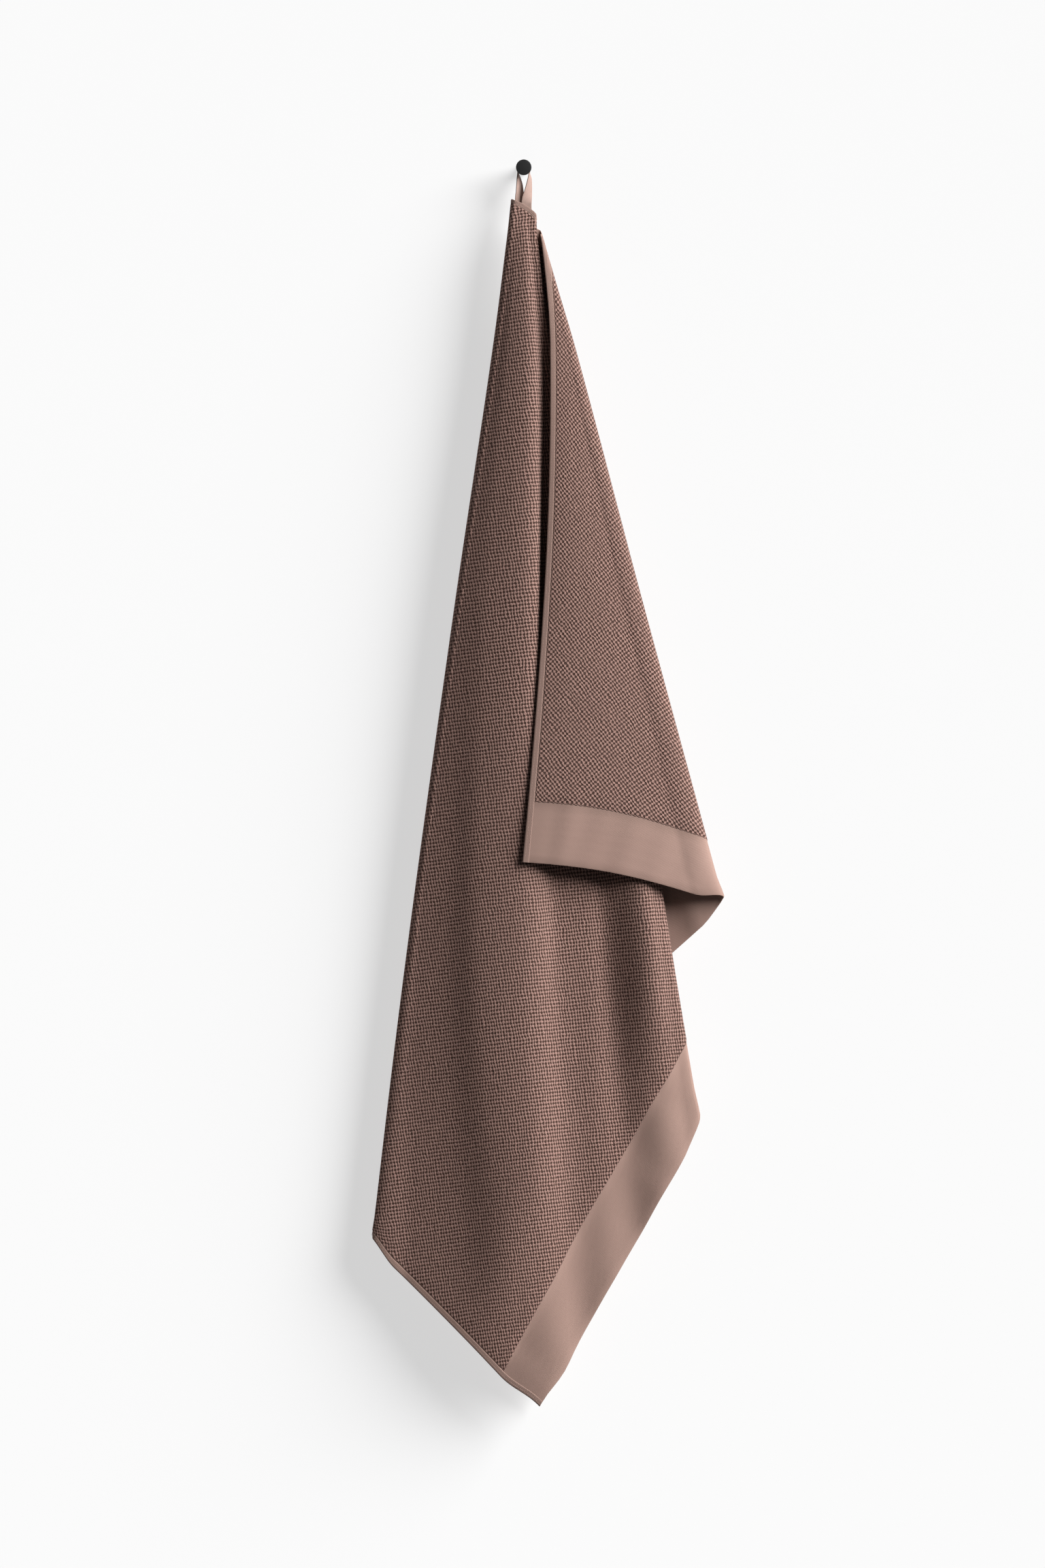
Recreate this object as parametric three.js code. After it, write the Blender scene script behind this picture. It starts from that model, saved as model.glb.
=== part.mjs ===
import * as THREE from 'three'

// Driving sizes in millimetres. The origin is the middle of the peg's back face on the wall,
// +X is to the right, -Y is out from the wall and +Z is up.

// The towel as it was cut: two long hemmed edges and two short ends with a woven border.
const towelLength = 1500
const towelWidth = 1000
const clothThickness = 3
const clothThicknessAtLoop = 1.5

// The cloth hangs by the middle of a long edge. Its folds run from a point a little above that edge.
const gatherAboveHem = 17
const gatherDepth = -31
const gatherHeight = -23

// Hung on the bias the weave gives: a strand grows longer from the loop to the far corner.
const growthStraight = 0.016
const growthBias = 0.09
const growthStart = 140

// The far corners and the ends of the folds are rounded off: each draws up a little, over a distance.
const cornerTuck = 13
const cornerReach = 70
const foldTuck = 9
const foldReach = 34

// The peg and the loop of tape.
const pegShaftRadius = 6
const pegHeadRadius = 8.8
const pegHeadBack = 35
const pegHeadFront = 42.5
const pegEdgeBreak = 0.8
const tapeWidth = 11.6
const tapeThickness = 1.1
const tapeGap = 0.35
const tapeDepth = -28

// Distances from the gather, measured on the flat cloth, at which the tables below give a place.
const stations = [20, 60, 180, 450, 850, 1250]

// Each turn is a line where the cloth folds back on itself, in order from the free front edge to the
// free back edge. Angle is its direction on the flat cloth, shift moves it sideways off the gather,
// and across is how far right of the peg it hangs at each station. An edge follows its hem. Bulge is
// how round the turn is, where that shows; a hidden turn takes its own from the depth that it crosses.
const turns = [
  { name: 'front edge', edge: true, across: [10, 19.5, 29.6, 23, -12, -64] },
  {
    name: 'flap right',
    angle: 18.2,
    shift: -0.6,
    across: [13, 21.5, 57.5, 131.5, 243, 350],
    bulge: [4.4, 5.2, 9, 22, 36, 40],
  },
  { name: 'hidden left', angle: 32, shift: -7.3, across: [14.5, 10.5, 18, 44, 61, 90] },
  {
    name: 'body right',
    angle: 40.3,
    shift: -7,
    across: [14.2, 15, 36, 105, 175.5, 251],
    bulge: [2.3, 2.5, 2.9, 5, 9, 28],
  },
  {
    name: 'body left',
    angle: 64.8,
    shift: 15,
    across: [-14, -18.5, -35, -78, -137, -188],
    bulge: [5.2, 6.3, 6.5, 7.5, 12, 52],
  },
  { name: 'back first right', angle: 90, shift: 15.5, across: [-3, 3, 28, 92, 157, 235] },
  { name: 'back left', angle: 115, shift: 13, across: [-10, -15, -30, -70, -126, -152] },
  { name: 'back second right', angle: 140, shift: 12.7, across: [0, 5, 30, 88, 148, 238] },
  { name: 'back inner left', angle: 160, shift: 8, across: [-8, -12, -26, -62, -105, -150] },
  { name: 'back edge', edge: true, across: [-8, -12, 10, 66, 140, 200] },
]

// Each pass is the cloth between two turns. Depth is how far it stands from the wall at each station,
// relief is how much of the body's ridges it takes on. Starts and ends are how much nearer the wall
// its first and last edges are than its middle.
const passes = [
  {
    name: 'flap',
    relief: 0,
    depth: [-34, -45, -54, -70, -90, -100],
    starts: [0, 0, 0, 3, 3, 3],
    ends: [0, 0, 3, 12, 19, 20],
  },
  {
    name: 'lining',
    relief: 0.05,
    depth: [-24.6, -33.4, -33, -33.5, -33.5, -34],
    starts: [0, 0, -1, -5, -11, -12],
  },
  { name: 'inner', relief: 0.25, depth: [-29.8, -38.7, -38.2, -39.5, -40, -39] },
  { name: 'body', relief: 1, depth: [-34, -43.4, -43.8, -45.5, -40, -36] },
  { name: 'back first', relief: 0.08, depth: [-22.4, -29.2, -28.4, -28.5, -28, -28.5] },
  { name: 'back second', relief: 0.05, depth: [-19, -25.2, -23.8, -23.2, -23, -23.5] },
  { name: 'back corner', relief: 0.03, depth: [-15.6, -21.2, -19.2, -18, -18, -18.5] },
  { name: 'back fourth', relief: 0, depth: [-12.2, -17, -14.6, -12.8, -13, -13.5] },
  { name: 'back last', relief: 0, depth: [-8.8, -12.6, -10, -7.6, -8, -9] },
]

// The body's ridges, as lines that run down the cloth from its left turn to its right turn. Across is
// how far right of the peg a line hangs at each station and rise is how far it stands out there.
const ridgeLines = [
  { name: 'left turn', across: [-14, -18.5, -35, -78, -137, -188], rise: [0, 0, 0, 0, 0, 0] },
  { name: 'left hollow', across: [-10, -13, -30, -66, -84, -60], rise: [0, 0.5, 2, 6, 16, 29] },
  { name: 'left flank', across: [-6, -8, -18, -41, -50, 4], rise: [0, 1.5, 8, 16, 31, 50] },
  { name: 'main crest', across: [-2, 0, 3, -3, -2, 34], rise: [0, 2.5, 13, 24, 39, 55] },
  { name: 'main shoulder', across: [1, 4, 12, 15, 19, 49], rise: [0, 2, 10.5, 20, 35.5, 51] },
  { name: 'main foot', across: [3, 6, 17, 23, 38, 64], rise: [0, 0.8, 4, 6, 25, 42] },
  { name: 'small foot', across: [6, 10, 21, 38, 56, 76], rise: [0, 0, 0, 6, 22.5, 38] },
  { name: 'small crest', across: [8, 11, 25, 50, 80, 104], rise: [0, 0, 0, 6, 22, 44] },
  { name: 'second foot', across: [10, 12, 29, 64, 102, 148], rise: [0, 0, 0, 5, 18, 38] },
  { name: 'second crest', across: [12, 13, 33, 88, 150, 176], rise: [0, 0, 0, 8, 36, 42] },
  { name: 'right turn', across: [14.2, 15, 36, 105, 175.5, 251], rise: [0, 0, 0, 2, 18, 14] },
]

// The flap's end hangs a little higher between its hem and its fold.
const flapLift = 9
const flapLiftFrom = 300
const flapLiftFull = 750

// The woven border is stiffer than the pile and flattens the tops of the ridges, where they stand out
// past a little of their height.
const borderFlattens = 0.55
const flattenedFrom = 590
const flattenedFull = 700
const flattenedPast = 18
const firstFlattened = passes.findIndex((pass) => pass.name === 'inner')
const bodyDepth = passes.find((pass) => pass.name === 'body').depth

// How finely the solid follows the cloth.
const columnsByPass = [9, 9, 8, 22, 8, 8, 10, 8, 7]
const rowCount = 26
const rowCrowding = 1.25
const turnReach = 1.1
const turnReachLeast = 8
const turnColumns = 0.3
const turnShareMost = 0.35
const pathSteps = 14
const startSharpness = 4
const turnSteps = 8
const farthestReach = 1400
const thinUntil = 30
const fullFrom = 190

// A turn bulges sideways by a share of the depth it crosses, and a little more.
const turnBulge = 0.4
const turnBulgeLeast = 0.6
const turnRoom = 0.45

const degrees = Math.PI / 180
const clamp = THREE.MathUtils.clamp

// A smooth curve through values at growing places, with each slope taken from its neighbours.
function glideOver(keys, values, at) {
  const last = keys.length - 1
  const slope = (i) => {
    const before = Math.max(i - 1, 0)
    const after = Math.min(i + 1, last)
    return (values[after] - values[before]) / (keys[after] - keys[before])
  }
  if (at <= keys[0]) return values[0]
  let i = 0
  while (i < last - 1 && at > keys[i + 1]) i += 1
  const span = keys[i + 1] - keys[i]
  const t = (at - keys[i]) / span
  const start = values[i] * (1 + 2 * t) * (1 - t) ** 2 + values[i + 1] * t * t * (3 - 2 * t)
  return start + span * (slope(i) * t * (1 - t) ** 2 - slope(i + 1) * t * t * (1 - t))
}

// One table row at a distance from the gather.
function glide(values, at) {
  return glideOver(stations, values, at)
}

// The direction of a turn on the flat cloth at a distance from the gather.
function turnAngle(index, reach) {
  const turn = turns[index]
  const hem = Math.asin(Math.min(1, gatherAboveHem / reach))
  if (turn.edge) return index === 0 ? hem : Math.PI - hem
  return turn.angle * degrees + Math.asin(clamp(turn.shift / reach, -1, 1))
}

// The ridge lines at a distance from the gather, and how far the body stands out between them.
function ridgesAt(reach) {
  return {
    across: ridgeLines.map((line) => glide(line.across, reach)),
    rise: ridgeLines.map((line) => glide(line.rise, reach)),
  }
}

function reliefAt(x, { across, rise }) {
  return Math.max(0, glideOver(across, rise, clamp(x, across[0], across[across.length - 1])))
}

// One level course of the cloth, seen from above: a path through every pass and round every turn.
function course(reach) {
  const across = turns.map((turn) => glide(turn.across, reach))
  const depth = passes.map((pass) => glide(pass.depth, reach))
  const starts = passes.map((pass) => (pass.starts ? glide(pass.starts, reach) : 0))
  const ends = passes.map((pass) => (pass.ends ? glide(pass.ends, reach) : 0))
  const ridges = ridgesAt(reach)
  const points = []
  const turnPoint = [0]
  passes.forEach((pass, p) => {
    const heading = Math.sign(across[p + 1] - across[p]) || 1
    const inset = (i, other) => {
      if (turns[i].edge) return 0
      if (turns[i].bulge) return glide(turns[i].bulge, reach)
      return Math.abs(depth[p] - depth[other]) * turnBulge + turnBulgeLeast
    }
    const room = Math.abs(across[p + 1] - across[p]) * turnRoom
    const startInset = Math.min(inset(p, p - 1), room)
    const endInset = Math.min(inset(p + 1, p + 1), room)
    const from = across[p] + heading * startInset
    const to = across[p + 1] - heading * endInset
    for (let k = 0; k <= pathSteps; k += 1) {
      const x = from + ((to - from) * k) / pathSteps
      const lean = starts[p] * (1 - k / pathSteps) ** startSharpness + ends[p] * (k / pathSteps) ** 2
      points.push([x, depth[p] + lean - pass.relief * reliefAt(x, ridges)])
    }
    if (p === passes.length - 1) return
    const next = passes[p + 1]
    const start = points[points.length - 1]
    const endY = depth[p + 1] + starts[p + 1] - next.relief * reliefAt(to, ridges)
    for (let k = 1; k < turnSteps; k += 1) {
      const angle = (Math.PI * k) / turnSteps
      const x = to + heading * endInset * Math.sin(angle)
      points.push([x, (start[1] + endY) / 2 + ((start[1] - endY) / 2) * Math.cos(angle)])
      if (k === turnSteps / 2) turnPoint.push(points.length - 1)
    }
  })
  turnPoint.push(points.length - 1)
  const along = [0]
  for (let k = 1; k < points.length; k += 1) {
    const step = Math.hypot(points[k][0] - points[k - 1][0], points[k][1] - points[k - 1][1])
    along.push(along[k - 1] + step)
  }
  return { points, along, turnAlong: turnPoint.map((k) => along[k]) }
}

// The share of a pass at which a column lies: columns crowd together on the bend of each turn.
function columnShare(column, reach, width) {
  const depthAt = (p) => (passes[p] ? glide(passes[p].depth, reach) : depthAt(column.pass))
  const bend = (p) => {
    const crossed = Math.abs(depthAt(p) - depthAt(column.pass)) * turnReach
    return Math.min(Math.max(crossed, turnReachLeast) / width, turnShareMost)
  }
  const q = column.step / columnsByPass[column.pass]
  const first = bend(column.pass - 1)
  const last = bend(column.pass + 1)
  if (q < turnColumns) return (q / turnColumns) * first
  if (q > 1 - turnColumns) return 1 - ((1 - q) / turnColumns) * last
  return first + ((q - turnColumns) / (1 - 2 * turnColumns)) * (1 - first - last)
}

// Where a column lies on the flat cloth at a distance from the gather.
function flatPlace(column, reach) {
  const from = turnAngle(column.pass, reach)
  const to = turnAngle(column.pass + 1, reach)
  const share = columnShare(column, reach, (to - from) * reach)
  const angle = from + (to - from) * share
  return { share, angle, u: reach * Math.cos(angle), v: reach * Math.sin(angle) - gatherAboveHem }
}

// How far the flat cloth at a column is from the nearer of its two folds.
function offTurns(column, reach, angle) {
  const ends = [column.pass, column.pass + 1].filter((i) => !turns[i].edge)
  return Math.min(...ends.map((i) => Math.abs(turnAngle(i, reach) - angle) * reach))
}

// The middle of the cloth's thickness at a distance from the gather along a column.
function hungPlace(column, reach) {
  const { share, angle, u, v } = flatPlace(column, reach)
  const { points, along, turnAlong } = course(reach)
  const target = turnAlong[column.pass] + (turnAlong[column.pass + 1] - turnAlong[column.pass]) * share
  let k = 1
  while (k < along.length - 1 && along[k] < target) k += 1
  const t = clamp((target - along[k - 1]) / (along[k] - along[k - 1]), 0, 1)
  const x = points[k - 1][0] + (points[k][0] - points[k - 1][0]) * t
  let y = points[k - 1][1] + (points[k][1] - points[k - 1][1]) * t
  if (column.pass >= firstFlattened) {
    const onBorder = THREE.MathUtils.smoothstep(Math.abs(u), flattenedFrom, flattenedFull)
    y += borderFlattens * onBorder * Math.max(0, glide(bodyDepth, reach) - flattenedPast - y)
  }
  const grown = THREE.MathUtils.smoothstep(reach, 0, growthStart)
  const spread = grown * (growthStraight + growthBias * Math.abs(Math.sin(2 * angle)))
  const fromCorner = Math.hypot(Math.abs(u) - towelLength / 2, v - towelWidth)
  const fromEdge = Math.min(towelLength / 2 - Math.abs(u), towelWidth - v)
  const fromFold = Math.hypot(offTurns(column, reach, angle), fromEdge)
  const atCorner = cornerTuck * (1 - THREE.MathUtils.smoothstep(fromCorner, 0, cornerReach))
  const tuck = atCorner + foldTuck * (1 - THREE.MathUtils.smoothstep(fromFold, 0, foldReach))
  const liftedBy = THREE.MathUtils.smoothstep(reach, flapLiftFrom, flapLiftFull) * Math.sin(Math.PI * share)
  const lift = column.pass === 0 ? flapLift * liftedBy : 0
  const hung = reach * (1 + spread) - tuck - lift
  const drop = Math.sqrt(Math.max(hung * hung - x * x - (y - gatherDepth) ** 2, 1))
  return new THREE.Vector3(x, y, gatherHeight - drop)
}

// The distance at which a test on the flat place turns true, found by halving.
function findReach(column, low, high, isPast) {
  for (let k = 0; k < 40; k += 1) {
    const middle = (low + high) / 2
    if (isPast(flatPlace(column, middle))) high = middle
    else low = middle
  }
  return (low + high) / 2
}

// All columns of the cloth. In two passes one column is moved to run through a far corner.
function towelColumns() {
  const columns = []
  passes.forEach((pass, p) => {
    for (let step = 0; step < columnsByPass[p]; step += 1) columns.push({ pass: p, step })
  })
  columns.push({ pass: passes.length - 1, step: columnsByPass[passes.length - 1] })
  const reach = Math.hypot(towelLength / 2, towelWidth + gatherAboveHem)
  for (const [name, side] of [['body', 1], ['back corner', -1]]) {
    const pass = passes.findIndex((entry) => entry.name === name)
    const angle = Math.atan2(towelWidth + gatherAboveHem, (side * towelLength) / 2)
    const corner = { pass, step: 0 }
    let low = 0
    let high = columnsByPass[pass]
    for (let k = 0; k < 40; k += 1) {
      corner.step = (low + high) / 2
      if (flatPlace(corner, reach).angle < angle) low = corner.step
      else high = corner.step
    }
    const moved = columns.find((column) => column.pass === pass && column.step === Math.round(corner.step))
    moved.step = corner.step
  }
  return columns
}

// The towel: one sheet in the shape in which it hangs, given its thickness.
function towelGeometry() {
  const columns = towelColumns()
  const offEnd = ({ u, v }) => Math.abs(u) > towelLength / 2 || v > towelWidth
  const onCloth = ({ v }) => v >= 0
  const flapStart = findReach({ pass: 0, step: columnsByPass[0] }, gatherAboveHem, farthestReach, onCloth)
  const backStart = findReach({ pass: passes.length - 1, step: 0 }, gatherAboveHem, farthestReach, onCloth)
  const places = []
  const spans = columns.map((column) => {
    let start
    if (column.pass === 0) start = flapStart
    else if (column.pass === passes.length - 1) start = backStart
    else start = findReach(column, gatherAboveHem, farthestReach, onCloth)
    return { start, end: findReach(column, start, farthestReach, offEnd) }
  })
  const firstShared = columnsByPass[0]
  const lastShared = columns.length - 1 - columnsByPass[passes.length - 1]
  const grid = columns.map(() => [])
  const reachOf = (j, k) => {
    const { start, end } = spans[j]
    return start + (end - start) * (k / rowCount) ** rowCrowding
  }
  columns.forEach((column, j) => {
    for (let k = 0; k <= rowCount; k += 1) {
      if (k === 0 && (j < firstShared || j > lastShared)) continue
      const reach = reachOf(j, k)
      grid[j][k] = places.length
      places.push({ column, reach, middle: hungPlace(column, reach) })
    }
  })
  columns.forEach((column, j) => {
    if (j < firstShared) grid[j][0] = grid[firstShared][0]
    if (j > lastShared) grid[j][0] = grid[lastShared][0]
  })

  const faces = []
  const addFace = (a, b, c) => {
    if (a !== b && b !== c && a !== c) faces.push([a, b, c])
  }
  for (let j = 0; j < columns.length - 1; j += 1) {
    for (let k = 0; k < rowCount; k += 1) {
      const [a, b, c, d] = [grid[j][k], grid[j + 1][k], grid[j + 1][k + 1], grid[j][k + 1]]
      addFace(a, b, c)
      addFace(a, c, d)
    }
  }
  const normals = places.map(() => new THREE.Vector3())
  for (const [a, b, c] of faces) {
    const ab = places[b].middle.clone().sub(places[a].middle)
    const ac = places[c].middle.clone().sub(places[a].middle)
    const normal = ab.cross(ac).normalize()
    for (const corner of [a, b, c]) normals[corner].add(normal)
  }

  const positions = []
  for (const side of [1, -1]) {
    places.forEach((place, i) => {
      const full = THREE.MathUtils.smoothstep(place.reach, thinUntil, fullFrom)
      const thickness = clothThicknessAtLoop + (clothThickness - clothThicknessAtLoop) * full
      const point = place.middle.clone().addScaledVector(normals[i].normalize(), (side * thickness) / 2)
      positions.push(point.x, point.y, point.z)
    })
  }
  const under = places.length
  const index = []
  for (const [a, b, c] of faces) {
    index.push(a, b, c)
    index.push(under + a, under + c, under + b)
  }
  const rim = []
  for (let k = rowCount; k > 0; k -= 1) rim.push(grid[0][k])
  for (let j = firstShared; j <= lastShared; j += 1) rim.push(grid[j][0])
  for (let k = 1; k <= rowCount; k += 1) rim.push(grid[columns.length - 1][k])
  for (let j = columns.length - 2; j > 0; j -= 1) rim.push(grid[j][rowCount])
  rim.forEach((a, i) => {
    const b = rim[(i + 1) % rim.length]
    index.push(b, a, under + a)
    index.push(b, under + a, under + b)
  })
  const geometry = new THREE.BufferGeometry()
  geometry.setAttribute('position', new THREE.Float32BufferAttribute(positions, 3))
  geometry.setIndex(index)
  return geometry
}

// The loop's route, from its end behind the hem on the left, up and over the peg, and down to its
// other end on the right. Turned is the direction of its width seen from above, in degrees: a quarter
// turn is straight out from the wall and a half turn is flat against the hem.
const loopLeft = [
  { x: -3.6, y: -30.8, z: -50, turned: 180 },
  { x: -3.7, y: -30.7, z: -45, turned: 180 },
  { x: -4, y: -30.1, z: -40, turned: 180 },
  { x: -4.3, y: -29.3, z: -35, turned: 166 },
  { x: -4.5, y: -28.3, z: -28, turned: 140 },
  { x: -4.8, y: -28.1, z: -19, turned: 126 },
  { x: -5.6, y: -28, z: -12, turned: 112 },
  { x: -6.45, y: -28, z: -6, turned: 94 },
]
const loopRight = [
  { x: 6.45, y: -28, z: -6, turned: 94 },
  { x: 6.8, y: -28.3, z: -12, turned: 110 },
  { x: 6, y: -28.9, z: -20, turned: 124 },
  { x: 4.9, y: -29.6, z: -28, turned: 140 },
  { x: 3.7, y: -31, z: -35, turned: 164 },
  { x: 3.2, y: -32, z: -40, turned: 180 },
  { x: 3.1, y: -32.5, z: -45, turned: 180 },
  { x: 3.1, y: -32.6, z: -50, turned: 180 },
]

function loopGeometry() {
  const overPeg = []
  const radius = pegShaftRadius + tapeGap + tapeThickness / 2
  for (let k = 0; k <= 8; k += 1) {
    const angle = Math.PI - (Math.PI * k) / 8
    overPeg.push({ x: radius * Math.cos(angle), y: tapeDepth, z: radius * Math.sin(angle), turned: 90 })
  }
  const route = [...loopLeft, ...overPeg, ...loopRight]
  const corners = route.map((p) => new THREE.Vector3(p.x, p.y, p.z))
  const line = new THREE.CatmullRomCurve3(corners, false, 'centripetal')
  const steps = (route.length - 1) * 3
  const positions = []
  for (let k = 0; k <= steps; k += 1) {
    const t = k / steps
    const place = line.getPoint(t)
    const tangent = line.getTangent(t)
    const f = t * (route.length - 1)
    const i = Math.min(Math.floor(f), route.length - 2)
    const turned = (route[i].turned + (route[i + 1].turned - route[i].turned) * (f - i)) * degrees
    const across = new THREE.Vector3(Math.cos(turned), -Math.sin(turned), 0)
    across.addScaledVector(tangent, -across.dot(tangent)).normalize()
    const outward = new THREE.Vector3().crossVectors(tangent, across)
    for (const [side, face] of [[-1, -1], [1, -1], [1, 1], [-1, 1]]) {
      const corner = place.clone()
      corner.addScaledVector(across, (side * tapeWidth) / 2)
      corner.addScaledVector(outward, (face * tapeThickness) / 2)
      positions.push(corner.x, corner.y, corner.z)
    }
  }
  const index = []
  for (let k = 0; k < steps; k += 1) {
    for (let c = 0; c < 4; c += 1) {
      const a = 4 * k + c
      const b = 4 * k + ((c + 1) % 4)
      index.push(a, b, b + 4)
      index.push(a, b + 4, a + 4)
    }
  }
  const end = 4 * steps
  index.push(0, 2, 1, 0, 3, 2)
  index.push(end, end + 1, end + 2, end, end + 2, end + 3)
  const geometry = new THREE.BufferGeometry()
  geometry.setAttribute('position', new THREE.Float32BufferAttribute(positions, 3))
  geometry.setIndex(index)
  return geometry
}

// The peg: a plain round shaft that stands out from the wall, with a wider round head.
function pegGeometry() {
  const profile = [
    [0, 0],
    [pegShaftRadius, 0],
    [pegShaftRadius, pegHeadBack],
    [pegHeadRadius - pegEdgeBreak, pegHeadBack],
    [pegHeadRadius, pegHeadBack + pegEdgeBreak],
    [pegHeadRadius, pegHeadFront - pegEdgeBreak],
    [pegHeadRadius - pegEdgeBreak, pegHeadFront],
    [0, pegHeadFront],
  ]
  const geometry = new THREE.LatheGeometry(profile.map(([r, y]) => new THREE.Vector2(r, y)), 48)
  geometry.rotateX(Math.PI)
  return geometry
}

function paint(color, roughness) {
  return new THREE.MeshStandardMaterial({ color, roughness, metalness: 0 })
}

function piece(name, geometry, material) {
  const mesh = new THREE.Mesh(geometry, material)
  mesh.name = name
  return mesh
}

const towelOnPeg = new THREE.Group()
towelOnPeg.add(piece('towel', towelGeometry(), paint(0x8d7167, 0.95)))
towelOnPeg.add(piece('hanging_loop', loopGeometry(), paint(0x9c8177, 0.9)))
towelOnPeg.add(piece('peg', pegGeometry(), paint(0x161616, 0.5)))

export default towelOnPeg
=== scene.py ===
"""A bath sheet hung by its tape loop from a round wall peg: the cloth, its hems, the loop and the peg."""
import math
import random

import bpy
import numpy as np
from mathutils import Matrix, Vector


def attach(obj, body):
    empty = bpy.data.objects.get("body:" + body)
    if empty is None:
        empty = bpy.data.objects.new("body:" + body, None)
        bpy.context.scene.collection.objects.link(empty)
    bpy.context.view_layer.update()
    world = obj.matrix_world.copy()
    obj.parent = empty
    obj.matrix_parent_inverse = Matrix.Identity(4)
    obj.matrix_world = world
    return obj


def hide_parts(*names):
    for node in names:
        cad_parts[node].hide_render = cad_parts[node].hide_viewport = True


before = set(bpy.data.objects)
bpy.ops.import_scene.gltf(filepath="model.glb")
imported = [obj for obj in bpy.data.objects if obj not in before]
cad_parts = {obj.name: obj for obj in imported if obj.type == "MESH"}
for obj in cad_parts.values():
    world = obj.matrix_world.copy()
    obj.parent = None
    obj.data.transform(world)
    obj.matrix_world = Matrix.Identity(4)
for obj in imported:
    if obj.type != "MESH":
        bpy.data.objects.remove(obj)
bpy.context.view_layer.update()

MM = 0.001

# The towel's own sizes in millimetres.
TOWEL_LENGTH = 1500
TOWEL_WIDTH = 1000
PILE_THICKNESS = 3.0
FLAT_THICKNESS = 1.9
BORDER_WIDTH = 67
HEM_WIDTH = 7.6
HEM_THICKNESS = 2.7
THIN_SHARE = 0.5
THIN_UNTIL, FULL_FROM = 30, 190

# The cloth hangs by the middle of a long edge, and its folds run from a point above that edge.
GATHER_ABOVE_HEM = 17
GATHER_DEPTH = -31
GATHER_HEIGHT = -23
GROWTH_STRAIGHT = 0.016
GROWTH_BIAS = 0.09
GROWTH_START = 140
CORNER_TUCK = 13
CORNER_REACH = 70
FOLD_TUCK = 9
FOLD_REACH = 34

STATIONS = [20, 60, 180, 450, 850, 1250]

# Each turn: angle on the flat cloth, sideways shift, how far right of the peg it hangs at each
# station, and how round it is where that shows.
TURNS = [
    ("front edge", None, None, [10, 19.5, 29.6, 23, -12, -64], None),
    ("flap right", 18.2, -0.6, [13, 21.5, 57.5, 131.5, 243, 350], [4.4, 5.2, 9, 22, 36, 40]),
    ("hidden left", 32, -7.3, [14.5, 10.5, 18, 44, 61, 90], None),
    ("body right", 40.3, -7, [14.2, 15, 36, 105, 175.5, 251], [2.3, 2.5, 2.9, 5, 9, 28]),
    ("body left", 64.8, 15, [-14, -18.5, -35, -78, -137, -188], [5.2, 6.3, 6.5, 7.5, 12, 52]),
    ("back first right", 90, 15.5, [-3, 3, 28, 92, 157, 235], None),
    ("back left", 115, 13, [-10, -15, -30, -70, -126, -152], None),
    ("back second right", 140, 12.7, [0, 5, 30, 88, 148, 238], None),
    ("back inner left", 160, 8, [-8, -12, -26, -62, -105, -150], None),
    ("back edge", None, None, [-8, -12, 10, 66, 140, 200], None),
]

# Each pass between two turns: its share of the body's ridges, how far it stands from the wall
# at each station, and how many columns of the mesh it gets. The flap leans back at its fold.
PASSES = [
    ("flap", 0, [-34, -45, -54, -70, -90, -100], 74),
    ("lining", 0.05, [-24.6, -33.4, -33, -33.5, -33.5, -34], 34),
    ("inner", 0.25, [-29.8, -38.7, -38.2, -39.5, -40, -39], 30),
    ("body", 1, [-34, -43.4, -43.8, -45.5, -40, -36], 132),
    ("back first", 0.08, [-22.4, -29.2, -28.4, -28.5, -28, -28.5], 46),
    ("back second", 0.05, [-19, -25.2, -23.8, -23.2, -23, -23.5], 42),
    ("back corner", 0.03, [-15.6, -21.2, -19.2, -18, -18, -18.5], 50),
    ("back fourth", 0, [-12.2, -17, -14.6, -12.8, -13, -13.5], 42),
    ("back last", 0, [-8.8, -12.6, -10, -7.6, -8, -9], 42),
]

# The body's ridges, as lines down the cloth from its left turn to its right turn: how far right of
# the peg each hangs at each station, and how far it stands out there.
RIDGE_LINES = [
    ("left turn", [-14, -18.5, -35, -78, -137, -188], [0, 0, 0, 0, 0, 0]),
    ("left hollow", [-10, -13, -30, -66, -84, -60], [0, 0.5, 2, 6, 16, 29]),
    ("left flank", [-6, -8, -18, -41, -50, 4], [0, 1.5, 8, 16, 31, 50]),
    ("main crest", [-2, 0, 3, -3, -2, 34], [0, 2.5, 13, 24, 39, 55]),
    ("main shoulder", [1, 4, 12, 15, 19, 49], [0, 2, 10.5, 20, 35.5, 51]),
    ("main foot", [3, 6, 17, 23, 38, 64], [0, 0.8, 4, 6, 25, 42]),
    ("small foot", [6, 10, 21, 38, 56, 76], [0, 0, 0, 6, 22.5, 38]),
    ("small crest", [8, 11, 25, 50, 80, 104], [0, 0, 0, 6, 22, 44]),
    ("second foot", [10, 12, 29, 64, 102, 148], [0, 0, 0, 5, 18, 38]),
    ("second crest", [12, 13, 33, 88, 150, 176], [0, 0, 0, 8, 36, 42]),
    ("right turn", [14.2, 15, 36, 105, 175.5, 251], [0, 0, 0, 2, 18, 14]),
]

# The flap's end hangs a little higher between its hem and its fold.
FLAP_LIFT = 9
FLAP_LIFT_FROM, FLAP_LIFT_FULL = 300, 750

# How much nearer the wall a pass is at its first and last edge than in its middle.
PASS_STARTS = {"flap": [0, 0, 0, 3, 3, 3], "lining": [0, 0, -1, -5, -11, -12]}
PASS_ENDS = {"flap": [0, 0, 3, 12, 19, 20]}
START_SHARPNESS = 4
LEVEL = [0] * 6

# The woven border is stiffer than the pile and flattens the ridges.
BORDER_FLATTENS = 0.55
FLATTENED_FROM, FLATTENED_FULL, FLATTENED_PAST = 590, 700, 18
FIRST_FLATTENED = 2
BODY_DEPTH = PASSES[3][2]

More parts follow.
